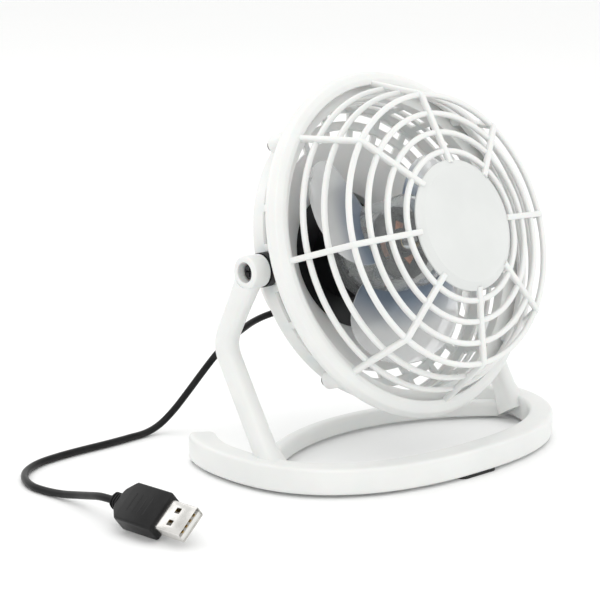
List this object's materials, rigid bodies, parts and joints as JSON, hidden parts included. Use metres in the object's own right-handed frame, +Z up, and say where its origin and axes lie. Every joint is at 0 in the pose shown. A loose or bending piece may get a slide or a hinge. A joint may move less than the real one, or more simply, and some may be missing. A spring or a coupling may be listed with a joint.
{
  "type": "usb desk fan",
  "caption": "Small tilting desk fan with a round guard, clear blades, an open loop stand and a short USB cord",
  "frame": {"origin": "middle of the bottom of the fan's own box, cord and plug left out, on the surface it stands on", "axes": "+Z up, -Y the way the fan faces, +X across between the two legs"},
  "size_m": [0.2235, 0.1242, 0.1463],
  "materials": {
    "white_plastic": "moulded, satin gloss",
    "black_plastic": "moulded, fine texture",
    "black_rubber": "soft, matt",
    "clear_plastic": "clear, polished",
    "screw_steel": "plated",
    "can_steel": "drawn and plated",
    "magnet": "bonded ferrite, matt",
    "copper": "bright enamelled copper",
    "brass": "plain",
    "wire_red": "smooth insulation",
    "cord_black": "smooth sheath",
    "plug_black": "moulded",
    "plug_chrome": "bright plated steel",
    "tongue_white": "moulded"
  },
  "bodies": {
    "stand": {"stand_frame": "white_plastic", "foot_pads": "black_rubber", "pivot_spacers": "black_plastic", "cord": "cord_black", "plug_body": "plug_black", "plug_shell": "plug_chrome", "plug_tongue": "tongue_white", "plug_contacts": "brass"},
    "head": {"pivot_screws": "screw_steel", "front_rim": "white_plastic", "front_cage": "white_plastic", "front_grille": "white_plastic", "rear_wall": "white_plastic", "rear_dish": "white_plastic", "guard_screws": "screw_steel", "motor_cup": "black_plastic", "rear_cover": "white_plastic", "cover_screws": "screw_steel", "motor_can": "can_steel", "motor_magnets": "magnet", "motor_front_cap": "black_plastic", "motor_rear_cap": "black_plastic", "motor_bushings": "brass", "motor_brushes": "brass", "switch_body": "black_plastic", "switch_terminals": "brass", "lead_wires": "wire_red", "strain_relief": "cord_black", "cord_lead": "cord_black"},
    "rocker": {"switch_rocker": "black_plastic"},
    "rotor": {"impeller": "clear_plastic", "motor_shaft": "screw_steel", "armature_core": "can_steel", "armature_windings": "copper", "commutator": "copper"}
  },
  "joints": [
    {"name": "head_tilt", "type": "hinge", "parent": "stand", "child": "head", "pos_m": [0, 0.00512, 0.078], "axis": [-1, 0, 0], "range_deg": [-50, 70]},
    {"name": "rotor_spin", "type": "hinge", "parent": "head", "child": "rotor", "pos_m": [0, 0.00512, 0.078], "axis": [0, -0.9397, 0.342], "continuous": true},
    {"name": "rocker_press", "type": "hinge", "parent": "head", "child": "rocker", "pos_m": [0, 0.04485, 0.07312], "axis": [0, 0.342, 0.9397], "range_deg": [0, 14]}
  ]
}
